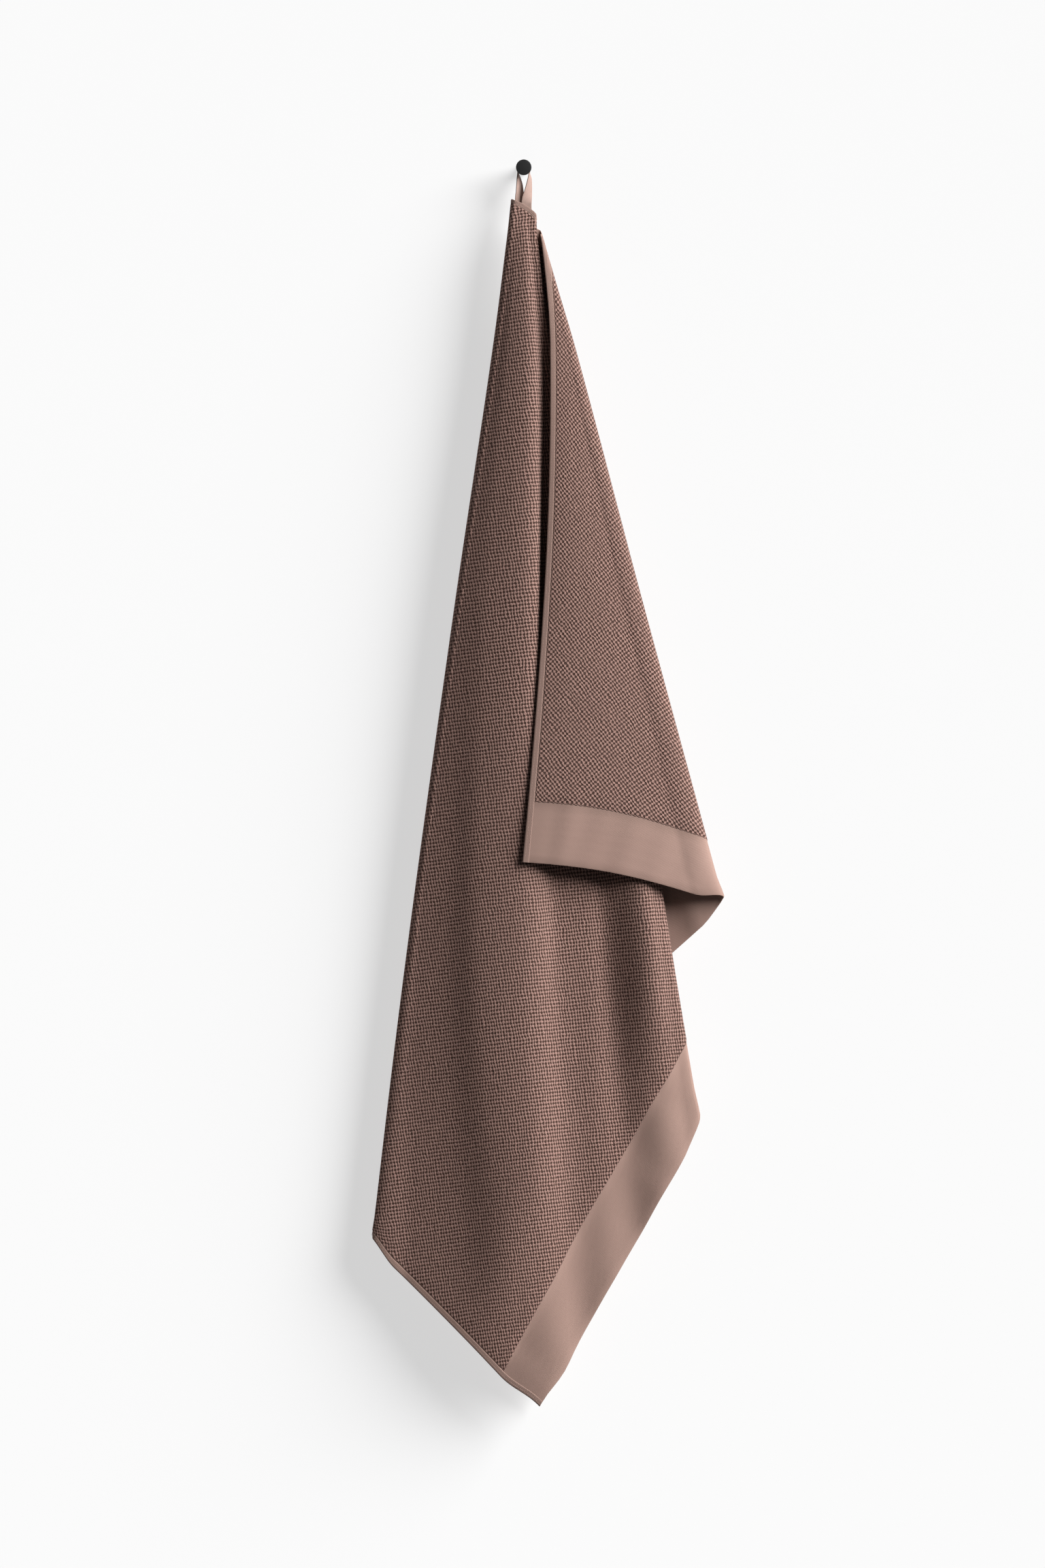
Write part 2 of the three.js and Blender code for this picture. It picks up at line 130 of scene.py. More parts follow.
# A turn bulges sideways by a share of the depth it crosses, and a little more.
TURN_BULGE = 0.4
TURN_BULGE_LEAST = 0.6
TURN_ROOM = 0.45
PATH_STEPS = 60
TURN_STEPS = 12

# How finely the mesh follows the cloth.
COURSE_STEP = 4.0
FARTHEST_REACH = 1400
ROWS_MAIN = 74
BORDER_ROWS = [0.03, 0.16, 0.3, 0.44, 0.58, 0.72, 0.86, 0.975, 1.0]
ROW_CROWDING = 1.3
TURN_REACH = 1.3
TURN_REACH_LEAST = 7
TURN_COLUMNS = 0.26
TURN_SHARE_MOST = 0.4


def smoothstep(value, low, high):
    t = min(max((value - low) / (high - low), 0.0), 1.0)
    return t * t * (3 - 2 * t)


def glide_over(keys, values, at):
    """A smooth curve through values at growing places, with each slope taken from its neighbours."""
    last = len(keys) - 1
    if at <= keys[0]:
        return values[0]
    i = 0
    while i < last - 1 and at > keys[i + 1]:
        i += 1

    def slope(k):
        before, after = max(k - 1, 0), min(k + 1, last)
        return (values[after] - values[before]) / (keys[after] - keys[before])

    span = keys[i + 1] - keys[i]
    t = (at - keys[i]) / span
    start = values[i] * (1 + 2 * t) * (1 - t) ** 2 + values[i + 1] * t * t * (3 - 2 * t)
    return start + span * (slope(i) * t * (1 - t) ** 2 - slope(i + 1) * t * t * (1 - t))


def glide(values, at):
    """One table row at a distance from the gather."""
    return glide_over(STATIONS, values, at)


def turn_angle(index, reach):
    """The direction of a turn on the flat cloth at a distance from the gather."""
    _, angle, shift, _, _ = TURNS[index]
    hem = math.asin(min(1.0, GATHER_ABOVE_HEM / reach))
    if angle is None:
        return hem if index == 0 else math.pi - hem
    return math.radians(angle) + math.asin(max(-1.0, min(1.0, shift / reach)))


def relief_at(x, across, rise):
    """How far the body's ridges stand out at a place across it."""
    return max(0.0, glide_over(across, rise, min(max(x, across[0]), across[-1])))


def course(reach):
    """One level course of the cloth seen from above: its path and the length at each turn."""
    across = [glide(turn[3], reach) for turn in TURNS]
    depth = [glide(cloth[2], reach) for cloth in PASSES]
    starts = [glide(PASS_STARTS.get(cloth[0], LEVEL), reach) for cloth in PASSES]
    ends = [glide(PASS_ENDS.get(cloth[0], LEVEL), reach) for cloth in PASSES]
    lines = [glide(line[1], reach) for line in RIDGE_LINES]
    rises = [glide(line[2], reach) for line in RIDGE_LINES]
    xs, ys, turn_points = [], [], [0]
    for p, (_, relief, _, _) in enumerate(PASSES):
        heading = 1 if across[p + 1] >= across[p] else -1
        room = abs(across[p + 1] - across[p]) * TURN_ROOM

        def inset(turn, other):
            if TURNS[turn][1] is None:
                return 0
            if TURNS[turn][4]:
                return glide(TURNS[turn][4], reach)
            return abs(depth[p] - depth[other]) * TURN_BULGE + TURN_BULGE_LEAST

        start_inset = min(inset(p, p - 1), room)
        end_inset = min(inset(p + 1, p + 1), room)
        begin = across[p] + heading * start_inset
        end = across[p + 1] - heading * end_inset
        for k in range(PATH_STEPS + 1):
            x = begin + (end - begin) * k / PATH_STEPS
            lean = starts[p] * (1 - k / PATH_STEPS) ** START_SHARPNESS + ends[p] * (k / PATH_STEPS) ** 2
            xs.append(x)
            ys.append(depth[p] + lean - relief * relief_at(x, lines, rises))
        if p == len(PASSES) - 1:
            break
        start_y = ys[-1]
        end_y = depth[p + 1] + starts[p + 1] - PASSES[p + 1][1] * relief_at(end, lines, rises)
        for k in range(1, TURN_STEPS):
            angle = math.pi * k / TURN_STEPS
            xs.append(end + heading * end_inset * math.sin(angle))
            ys.append((start_y + end_y) / 2 + (start_y - end_y) / 2 * math.cos(angle))
            if k == TURN_STEPS // 2:
                turn_points.append(len(xs) - 1)
    turn_points.append(len(xs) - 1)
    xs, ys = np.array(xs), np.array(ys)
    along = np.concatenate([[0.0], np.cumsum(np.hypot(np.diff(xs), np.diff(ys)))])
    return xs, ys, along, along[turn_points]


COURSES = [course(max(k * COURSE_STEP, 10.0)) for k in range(int(FARTHEST_REACH / COURSE_STEP) + 2)]


def on_course(index, p, share):
    xs, ys, along, turn_along = COURSES[index]
    target = turn_along[p] + (turn_along[p + 1] - turn_along[p]) * share
    k = int(np.searchsorted(along, target))
    k = min(max(k, 1), len(along) - 1)
    t = min(max((target - along[k - 1]) / (along[k] - along[k - 1]), 0.0), 1.0)
    return xs[k - 1] + (xs[k] - xs[k - 1]) * t, ys[k - 1] + (ys[k] - ys[k - 1]) * t


def hung(p, share, reach):
    """The middle of the cloth at a share of a pass: its place, and where that is on the flat cloth."""
    start, end = turn_angle(p, reach), turn_angle(p + 1, reach)
    angle = start + (end - start) * share
    u = reach * math.cos(angle)
    v = reach * math.sin(angle) - GATHER_ABOVE_HEM
    f = reach / COURSE_STEP
    i = int(f)
    x0, y0 = on_course(i, p, share)
    x1, y1 = on_course(i + 1, p, share)
    x = x0 + (x1 - x0) * (f - i)
    y = y0 + (y1 - y0) * (f - i)
    if p >= FIRST_FLATTENED and abs(u) > FLATTENED_FROM:
        on_border = smoothstep(abs(u), FLATTENED_FROM, FLATTENED_FULL)
        y += BORDER_FLATTENS * on_border * max(0.0, glide(BODY_DEPTH, reach) - FLATTENED_PAST - y)
    spread = smoothstep(reach, 0, GROWTH_START)
    spread *= GROWTH_STRAIGHT + GROWTH_BIAS * abs(math.sin(2 * angle))
    from_corner = math.hypot(abs(u) - TOWEL_LENGTH / 2, v - TOWEL_WIDTH)
    tuck = CORNER_TUCK * (1 - smoothstep(from_corner, 0, CORNER_REACH))
    off_turns = min(abs(angle - end) if TURNS[p + 1][1] else 9, abs(angle - start) if TURNS[p][1] else 9)
    from_edge = min(TOWEL_LENGTH / 2 - abs(u), TOWEL_WIDTH - v)
    from_fold = math.hypot(off_turns * reach, from_edge)
    tuck += FOLD_TUCK * (1 - smoothstep(from_fold, 0, FOLD_REACH))
    lift = 0.0
    if p == 0:
        lift = FLAP_LIFT * smoothstep(reach, FLAP_LIFT_FROM, FLAP_LIFT_FULL) * math.sin(math.pi * share)
    length = reach * (1 + spread) - tuck - lift
    drop = math.sqrt(max(length * length - x * x - (y - GATHER_DEPTH) ** 2, 1.0))
    return (x, y, GATHER_HEIGHT - drop), u, v


def place(u, v):
    """Where a point of the flat cloth hangs."""
    reach = math.hypot(u, v + GATHER_ABOVE_HEM)
    angle = math.atan2(v + GATHER_ABOVE_HEM, u)
    p = 0
    while p < len(PASSES) - 1 and turn_angle(p + 1, reach) < angle:
        p += 1
    start, end = turn_angle(p, reach), turn_angle(p + 1, reach)
    share = (angle - start) / (end - start) if abs(end - start) > 1e-9 else 0.0
    return Vector(hung(p, min(max(share, 0.0), 1.0), reach)[0])


# The sheet begins inside the long hems, and its pile begins beyond them.
SHEET_EDGE = 4.2
PILE_EDGE = [SHEET_EDGE, 7.3, 8.8]
HEM_LEAST = 0.6
HEM_NARROW = (20, 90)
EDGE_ROUNDING = 1.2
EDGE_THINNED = 0.65

# A flat border's small waves: the height in mm, then how fast each runs across the towel and along it.
# The long wave also wanders to and fro.
WAVE_LONG = (0.5, 0.075)
WAVE_WANDER = (1.6, 0.019)
WAVE_SHORT = (0.3, 0.17, 0.04)
WAVE_FADES_END = (BORDER_WIDTH - 10, BORDER_WIDTH + 30)
WAVE_FADES_SIDE = (14, 50)


def border_wave(u, v):
    """The small uneven waves of a flat border, which die out towards the pile and the hems. In mm."""
    on_border = 1 - smoothstep(TOWEL_LENGTH / 2 - abs(u), *WAVE_FADES_END)
    inside = smoothstep(min(v, TOWEL_WIDTH - v), *WAVE_FADES_SIDE)
    waves = WAVE_LONG[0] * math.sin(v * WAVE_LONG[1] + WAVE_WANDER[0] * math.sin(v * WAVE_WANDER[1]))
    waves += WAVE_SHORT[0] * math.sin(v * WAVE_SHORT[1] + u * WAVE_SHORT[2])
    return on_border * inside * waves


def column_share(p, step, reach):
    """The share of a pass at which a column lies. Columns crowd together on each turn."""
    start, end = turn_angle(p, reach), turn_angle(p + 1, reach)
    width = max((end - start) * reach, 1e-6)
    count = PASSES[p][3]
    if p == len(PASSES) - 1:
        return 1 - crowded(count - step, count, width, p, p - 1, reach, start, end, True)
    if p == 0:
        return crowded(step, count, width, p, p + 1, reach, start, end, True)
    return crowded(step, count, width, p, None, reach, start, end, False)


def crowded(step, count, width, p, other, reach, start, end, hemmed):
    def bend(index):
        crossed = abs(glide(PASSES[index][2], reach) - glide(PASSES[p][2], reach)) * TURN_REACH
        return min(max(crossed, TURN_REACH_LEAST) / width, TURN_SHARE_MOST)

    if not hemmed:
        first, last, low, q = bend(p - 1), bend(p + 1), 0.0, step / count
    else:
        first, last = 0.12, bend(other)
        hem = math.asin(min(1.0, GATHER_ABOVE_HEM / reach))
        edges = []
        for offset in PILE_EDGE:
            away = math.asin(min(1.0, (GATHER_ABOVE_HEM + offset) / reach)) - hem
            edges.append(min(away * reach / width, 0.2 + 0.02 * len(edges)))
        if step <= 2:
            low_step = int(step)
            part = step - low_step
            upper = edges[min(low_step + 1, 2)]
            return edges[low_step] + (upper - edges[low_step]) * part
        low, q = edges[2], (step - 2) / (count - 2)
    if q < TURN_COLUMNS:
        share = q / TURN_COLUMNS * first
    elif q > 1 - TURN_COLUMNS:
        share = 1 - (1 - q) / TURN_COLUMNS * last
    else:
        share = first + (q - TURN_COLUMNS) / (1 - 2 * TURN_COLUMNS) * (1 - first - last)
    return low + (1 - low) * share


def flat_place(p, step, reach):
    share = column_share(p, step, reach)
    start, end = turn_angle(p, reach), turn_angle(p + 1, reach)
    angle = start + (end - start) * share
    return reach * math.cos(angle), reach * math.sin(angle) - GATHER_ABOVE_HEM


def find_reach(p, step, low, is_past):
    high = FARTHEST_REACH - 1
    for _ in range(28):
        middle = (low + high) / 2
        if is_past(*flat_place(p, step, middle)):
            high = middle
        else:
            low = middle
    return (low + high) / 2


def hem_share(u):
    """The hems draw in and turn narrower where the cloth is gathered at the loop."""
    return HEM_LEAST + (1 - HEM_LEAST) * smoothstep(abs(u), *HEM_NARROW)


def near_share(reach):
    """The cloth is squeezed thinner where it is gathered."""
    return THIN_SHARE + (1 - THIN_SHARE) * smoothstep(reach, THIN_UNTIL, FULL_FROM)


def in_from_hem(offset, u, far):
    """The flat cloth's second coordinate at a distance in from one of the long edges."""
    return TOWEL_WIDTH - offset * hem_share(u) if far else offset * hem_share(u)


def cloth_half_thickness(u, v, reach):
    """Half the cloth's thickness: thick over the pile, thin on the hems and borders, rounded at edges."""
    from_side = min(v, TOWEL_WIDTH - v) / hem_share(u)
    from_end = TOWEL_LENGTH / 2 - abs(u)
    pile = smoothstep(from_side, PILE_EDGE[1], PILE_EDGE[2])
    pile *= smoothstep(from_end, BORDER_WIDTH - 0.8, BORDER_WIDTH + 1.0)
    full = FLAT_THICKNESS + (PILE_THICKNESS - FLAT_THICKNESS) * pile
    edge = 1 - EDGE_THINNED + EDGE_THINNED * math.sqrt(min(max(from_end, 0.0) / EDGE_ROUNDING, 1.0))
    return full * near_share(reach) * edge / 2


def add_object(name, vertices, faces):
    mesh = bpy.data.meshes.new(name)
    mesh.from_pydata([tuple(c * MM for c in v) for v in vertices], [], faces)
    mesh.validate()
    obj = bpy.data.objects.new(name, mesh)
    bpy.context.scene.collection.objects.link(obj)
    return obj


def pick(obj):
    """Makes one piece the only chosen one."""
    bpy.ops.object.select_all(action="DESELECT")
    obj.select_set(True)
    bpy.context.view_layer.objects.active = obj


def smooth(obj, angle):
    pick(obj)
    bpy.ops.object.shade_smooth_by_angle(angle=math.radians(angle))


def turn_faces_out(obj, join_doubles=True):
    """Turns all faces outward, after points in the same place are joined."""
    pick(obj)
    bpy.ops.object.mode_set(mode="EDIT")
    bpy.ops.mesh.select_all(action="SELECT")
    if join_doubles:
        bpy.ops.mesh.remove_doubles(threshold=0.00001)
    bpy.ops.mesh.normals_make_consistent(inside=False)
    bpy.ops.object.mode_set(mode="OBJECT")


def give_uv(obj, coordinates):
    """The piece's own map, in metres of flat cloth."""
    layer = obj.data.uv_layers.new(name="cloth")
    for loop in obj.data.loops:
        layer.data[loop.index].uv = coordinates[loop.vertex_index]


def build_sheet():
    """The whole towel in one sheet, in the shape in which it hangs."""
    columns = [(p, step) for p, cloth in enumerate(PASSES) for step in range(cloth[3])]
    columns.append((len(PASSES) - 1, PASSES[-1][3]))
    corner_reach = math.hypot(TOWEL_LENGTH / 2, TOWEL_WIDTH - SHEET_EDGE + GATHER_ABOVE_HEM)
    for side in (1, -1):
        angle = math.atan2(TOWEL_WIDTH - SHEET_EDGE + GATHER_ABOVE_HEM, side * TOWEL_LENGTH / 2)
        p = 0
        while turn_angle(p + 1, corner_reach) < angle:
            p += 1
        low, high = 0.0, float(PASSES[p][3])
        for _ in range(40):
            middle = (low + high) / 2
            u, v = flat_place(p, middle, corner_reach)
            if math.atan2(v + GATHER_ABOVE_HEM, u) < angle:
                low = middle
            else:
                high = middle
        columns[columns.index((p, round(low)))] = (p, low)

    def off_end(u, v):
        return abs(u) > TOWEL_LENGTH / 2 or v > TOWEL_WIDTH - SHEET_EDGE

    def off_pile(u, v):
        return abs(u) > TOWEL_LENGTH / 2 - BORDER_WIDTH - 0.9 or v > TOWEL_WIDTH - PILE_EDGE[2]

    last_p = len(PASSES) - 1
    shared_first = PASSES[0][3]
    shared_last = len(columns) - 1 - PASSES[last_p][3]
    spans = []
    for j, (p, step) in enumerate(columns):
        q = (0, PASSES[0][3]) if p == 0 else (last_p, 0) if p == last_p else (p, step)
        starts = [find_reach(*q, GATHER_ABOVE_HEM, lambda u, v: v > edge) for edge in PILE_EDGE]
        inner = find_reach(p, step, starts[2] + 1, off_pile)
        end = find_reach(p, step, starts[2] + 1, off_end)
        rows = list(starts)
        for k in range(1, ROWS_MAIN + 1):
            rows.append(starts[2] + (inner - starts[2]) * (k / ROWS_MAIN) ** ROW_CROWDING)
        for part in BORDER_ROWS:
            rows.append(inner + (end - inner) * part)
        spans.append(rows)

    places, flats, halves = [], [], []
    row_last = len(spans[0]) - 1
    grid = [[None] * (row_last + 1) for _ in columns]
    for j, (p, step) in enumerate(columns):
        for k, reach in enumerate(spans[j]):
            if k == 0 and (j < shared_first or j > shared_last):
                continue
            share = column_share(p, step, reach)
            spot, u, v = hung(p, share, reach)
            grid[j][k] = len(places)
            places.append((spot[0], spot[1] + border_wave(u, v), spot[2]))
            flats.append((u, v))
            halves.append(cloth_half_thickness(u, v, reach))
    for j in range(len(columns)):
        if j < shared_first:
            grid[j][0] = grid[shared_first][0]
        if j > shared_last:
            grid[j][0] = grid[shared_last][0]

    faces = []
    for j in range(len(columns) - 1):
        for k in range(row_last):
            corners = [grid[j][k], grid[j + 1][k], grid[j + 1][k + 1], grid[j][k + 1]]
            face = [c for n, c in enumerate(corners) if c != corners[n - 1]]
            if len(face) > 2:
                faces.append(face)
    spots = np.array(places)
    normals = np.zeros_like(spots)
    for face in faces:
        a, b, c = spots[face[0]], spots[face[1]], spots[face[2]]
        normal = np.cross(b - a, c - a)
        size = np.linalg.norm(normal)
        if size > 1e-9:
            for corner in face:
                normals[corner] += normal / size
    normals /= np.maximum(np.linalg.norm(normals, axis=1), 1e-9)[:, None]
    half = np.array(halves)[:, None]
    vertices = np.concatenate([spots + normals * half, spots - normals * half])
    under = len(spots)
    solid = [list(face) for face in faces] + [[under + c for c in reversed(face)] for face in faces]
    rim = [grid[0][k] for k in range(row_last, 0, -1)]
    rim += [grid[j][0] for j in range(shared_first, shared_last + 1)]
    rim += [grid[len(columns) - 1][k] for k in range(1, row_last + 1)]
    rim += [grid[j][row_last] for j in range(len(columns) - 2, 0, -1)]
    for n, a in enumerate(rim):
        b = rim[(n + 1) % len(rim)]
        if a != b:
            solid.append([b, a, under + a, under + b])
    obj = add_object("towel_sheet", vertices, solid)
    give_uv(obj, [(u * MM, v * MM) for u, v in flats] * 2)
    smooth(obj, 50)
    return obj


def hem_stations():
    """Steps along a long edge, closer together near the loop."""
    stations, u = [0.0], 0.0
    while u < TOWEL_LENGTH / 2:
        u += 1.2 + 3.2 * smoothstep(u, 20, 160)
        stations.append(min(u, TOWEL_LENGTH / 2))
    return [-s for s in reversed(stations[1:])] + stations


def surface_frame(u, v):
    """A place on the cloth, the direction along the edge and the outward direction."""
    spot = place(u, v)
    step = 0.6
    along = place(min(u + step, TOWEL_LENGTH / 2), v) - place(max(u - step, -TOWEL_LENGTH / 2), v)
    away = place(u, min(v + step, TOWEL_WIDTH)) - place(u, max(v - step, 0.0))
    return spot, along.normalized(), along.cross(away).normalized()


HEM_PROFILE = [(0.0, 0.0), (0.25, 0.62), (0.9, 0.9), (2.2, 1.0), (3.0, 0.9), (3.9, 1.0), (5.4, 1.0),
               (6.2, 0.9), (6.9, 0.96), (7.4, 0.75), (HEM_WIDTH, 0.3)]


def build_hem(name, far):
    """A narrow double hem down one long edge of the towel."""
    vertices, flats, faces = [], [], []
    ring = 2 * len(HEM_PROFILE)
    for u in hem_stations():
        spots = []
        for offset, _ in HEM_PROFILE:
            v = in_from_hem(offset, u, far)
            spots.append((surface_frame(u, v), v))
        for side in (1, -1):
            chain = list(zip(HEM_PROFILE, spots))
            for (offset, share), ((spot, _, outward), v) in (chain if side == 1 else chain[::-1]):
                reach = math.hypot(u, v + GATHER_ABOVE_HEM)
                half = HEM_THICKNESS * near_share(reach) * share / 2
                vertices.append(spot + outward * (side * half))
                flats.append((u * MM, v * MM))
    count = len(vertices) // ring
    for i in range(count - 1):
        for c in range(ring):
            a, b = i * ring + c, i * ring + (c + 1) % ring
            face = [a, b, b + ring, a + ring]
            faces.append(face)
    faces.append(list(range(ring)))
    faces.append(list(reversed(range((count - 1) * ring, count * ring))))
    obj = add_object(name, vertices, faces)
    give_uv(obj, flats)
    turn_faces_out(obj)
    smooth(obj, 60)
    return obj


STITCH_PITCH = 3.1
STITCH_LENGTH = 2.5
STITCH_HALF_WIDTH = 0.36
STITCH_RISE = 0.28
STITCH_LINES = (3.0, 6.2)
STITCH_SEAT = 0.9
STITCH_START = 3
STITCH_STRAY = 0.12


def build_stitches():
    """Two lines of stitches along both long hems, on both faces of the cloth."""
    draw = random.Random(5)
    vertices, faces, flats = [], [], []
    for far in (False, True):
        for line in STITCH_LINES:
            for n in range(int((TOWEL_LENGTH - 2 * STITCH_START) / STITCH_PITCH)):
                u = -TOWEL_LENGTH / 2 + STITCH_START + (n + 0.5) * STITCH_PITCH
                v = in_from_hem(line, u, far)
                spot, along, outward = surface_frame(u, v + draw.uniform(-STITCH_STRAY, STITCH_STRAY))
                reach = math.hypot(u, v + GATHER_ABOVE_HEM)
                half = HEM_THICKNESS * near_share(reach) * STITCH_SEAT / 2
                across = along.cross(outward)
                for side in (1, -1):
                    middle = spot + outward * (side * (half + 0.02))
                    up = outward * (side * STITCH_RISE)
                    end = along * (STITCH_LENGTH / 2)
                    wide = across * STITCH_HALF_WIDTH
                    first = len(vertices)
                    points = [middle - end - up * 0.6, middle - end * 0.55 + wide, middle - end * 0.55 + up,
                              middle - end * 0.55 - wide, middle + end * 0.55 + wide,
                              middle + end * 0.55 + up, middle + end * 0.55 - wide, middle + end - up * 0.6]
                    vertices += points
                    flats += [(u * MM, v * MM)] * 8
                    shape = [(0, 1, 2), (0, 2, 3), (0, 3, 1), (1, 4, 5, 2), (2, 5, 6, 3), (3, 6, 4, 1),
                             (7, 5, 4), (7, 6, 5), (7, 4, 6)]
                    faces += [[first + c for c in face] for face in shape]
    obj = add_object("hem_stitches", vertices, faces)
    give_uv(obj, flats)
    turn_faces_out(obj, join_doubles=False)
    smooth(obj, 60)
    return obj


# The loop of tape, from its end behind the hem on the left, over the peg, and down on the right.
PEG_SHAFT_RADIUS = 6
TAPE_WIDTH = 11.6
TAPE_THICKNESS = 1.1
TAPE_GAP = 0.35
TAPE_DEPTH = -28
LOOP_LEFT = [
    (-3.6, -30.8, -50, 180), (-3.7, -30.7, -45, 180), (-4, -30.1, -40, 180), (-4.3, -29.3, -35, 166),
    (-4.5, -28.3, -28, 140), (-4.8, -28.1, -19, 126), (-5.6, -28, -12, 112), (-6.45, -28, -6, 94),
]
LOOP_RIGHT = [
    (6.45, -28, -6, 94), (6.8, -28.3, -12, 110), (6, -28.9, -20, 124), (4.9, -29.6, -28, 140),
    (3.7, -31, -35, 164), (3.2, -32, -40, 180), (3.1, -32.5, -45, 180), (3.1, -32.6, -50, 180),
]
TAPE_PROFILE = [(-1, 0), (-0.97, -0.42), (-0.9, -0.5), (-0.72, -0.42), (-0.3, -0.46), (0.3, -0.46),
                (0.72, -0.42), (0.9, -0.5), (0.97, -0.42), (1, 0), (0.97, 0.42), (0.9, 0.5),
                (0.72, 0.42), (0.3, 0.46), (-0.3, 0.46), (-0.72, 0.42), (-0.9, 0.5), (-0.97, 0.42)]
TAPE_STEPS = 8


def curve_through(points, t):
    """A centripetal curve through the loop's points: its place and direction."""
    f = t * (len(points) - 1)
    i = min(int(f), len(points) - 2)
    p1, p2 = points[i], points[i + 1]
    p0 = points[i - 1] if i > 0 else p1 * 2 - p2
    p3 = points[i + 2] if i + 2 < len(points) else p2 * 2 - p1
    d0, d1, d2 = [max((b - a).length ** 0.5, 1e-4) for a, b in ((p0, p1), (p1, p2), (p2, p3))]
    s = f - i
    m1 = ((p1 - p0) / d0 - (p2 - p0) / (d0 + d1) + (p2 - p1) / d1) * d1
    m2 = ((p2 - p1) / d1 - (p3 - p1) / (d1 + d2) + (p3 - p2) / d2) * d1
    a = p1 * 2 - p2 * 2 + m1 + m2
    b = p2 * 3 - p1 * 3 - m1 * 2 - m2
    return ((a * s + b) * s + m1) * s + p1, ((a * 3 * s + b * 2) * s + m1).normalized()


def build_loop():
    """The loop of flat woven tape that the towel hangs by."""
    radius = PEG_SHAFT_RADIUS + TAPE_GAP + TAPE_THICKNESS / 2
    over = []
    for k in range(9):
        angle = math.pi - math.pi * k / 8
        over.append((radius * math.cos(angle), TAPE_DEPTH, radius * math.sin(angle), 90))
    route = LOOP_LEFT + over + LOOP_RIGHT
    points = [Vector(entry[:3]) for entry in route]
    steps = (len(route) - 1) * TAPE_STEPS
    vertices, faces, flats = [], [], []
    ring = len(TAPE_PROFILE)
    length, before = 0.0, points[0]
    for k in range(steps + 1):
        t = k / steps
        spot, tangent = curve_through(points, t)
        f = t * (len(route) - 1)
        i = min(int(f), len(route) - 2)
        turned = math.radians(route[i][3] + (route[i + 1][3] - route[i][3]) * (f - i))
        across = Vector((math.cos(turned), -math.sin(turned), 0))
        across = (across - tangent * across.dot(tangent)).normalized()
        outward = tangent.cross(across)
        length += (spot - before).length
        before = spot
        for a, b in TAPE_PROFILE:
            vertices.append(spot + across * (a * TAPE_WIDTH / 2) + outward * (b * TAPE_THICKNESS))
            flats.append((a * TAPE_WIDTH / 2 * MM, length * MM))
    for k in range(steps):
        for c in range(ring):
            a, b = ring * k + c, ring * k + (c + 1) % ring
            faces.append([a, b, b + ring, a + ring])
    faces.append(list(reversed(range(ring))))
    faces.append(list(range(steps * ring, (steps + 1) * ring)))
    obj = add_object("tape_loop", vertices, faces)
    give_uv(obj, flats)
    turn_faces_out(obj)
    smooth(obj, 50)
    return obj


PEG_HEAD_RADIUS = 8.8
PEG_HEAD_BACK = 35
PEG_HEAD_FRONT = 42.5
PEG_EDGE_BREAK = 0.8


def build_peg():
    """The peg: a round shaft from the wall with a wider round head whose rim is bevelled."""
    bpy.ops.object.select_all(action="DESELECT")
    bpy.ops.mesh.primitive_cylinder_add(
        vertices=96, radius=PEG_HEAD_RADIUS * MM, depth=(PEG_HEAD_FRONT - PEG_HEAD_BACK) * MM,
        location=(0, -(PEG_HEAD_FRONT + PEG_HEAD_BACK) / 2 * MM, 0), rotation=(math.pi / 2, 0, 0))
    peg = bpy.context.object
    peg.name = peg.data.name = "peg_body"
    bpy.ops.object.transform_apply(location=True, rotation=True, scale=True)
    bpy.ops.object.mode_set(mode="EDIT")
    bpy.ops.mesh.select_mode(type="FACE")
    bpy.ops.mesh.select_all(action="DESELECT")
    bpy.ops.object.mode_set(mode="OBJECT")
    for face in peg.data.polygons:
        face.select = abs(face.normal.y) > 0.9
    bpy.ops.object.mode_set(mode="EDIT")
    bpy.ops.mesh.bevel(offset=PEG_EDGE_BREAK * MM, segments=4, profile=0.55, affect="EDGES")
    bpy.ops.mesh.select_all(action="DESELECT")
    bpy.ops.object.mode_set(mode="OBJECT")
    for face in peg.data.polygons:
        face.select = face.normal.y > 0.999
    bpy.ops.object.mode_set(mode="EDIT")
    bpy.ops.mesh.inset(thickness=(PEG_HEAD_RADIUS - PEG_EDGE_BREAK - PEG_SHAFT_RADIUS) * MM, depth=0)
    bpy.ops.mesh.extrude_region_move(TRANSFORM_OT_translate={"value": (0, PEG_HEAD_BACK * MM, 0)})
    bpy.ops.object.mode_set(mode="OBJECT")
    smooth(peg, 30)
    return peg


sheet = build_sheet()
near_hem = build_hem("hem_near_loop", False)
far_hem = build_hem("hem_far_side", True)
stitches = build_stitches()
tape = build_loop()
peg = build_peg()


class Value:
    """A socket in a material, with the operators that its sums are written in."""

    def __init__(self, made, socket):
        self.made, self.socket = made, socket

    def join(self, operation, other, swapped=False):
        values = [other, self] if swapped else [self, other]
        return self.made.math(operation, *values)

    def __add__(self, other):
        return self.join("ADD", other)

    __radd__ = __add__

    def __sub__(self, other):
        return self.join("SUBTRACT", other)

    def __rsub__(self, other):
        return self.join("SUBTRACT", other, True)

    def __mul__(self, other):
        return self.join("MULTIPLY", other)

    __rmul__ = __mul__

    def __truediv__(self, other):
        return self.join("DIVIDE", other)


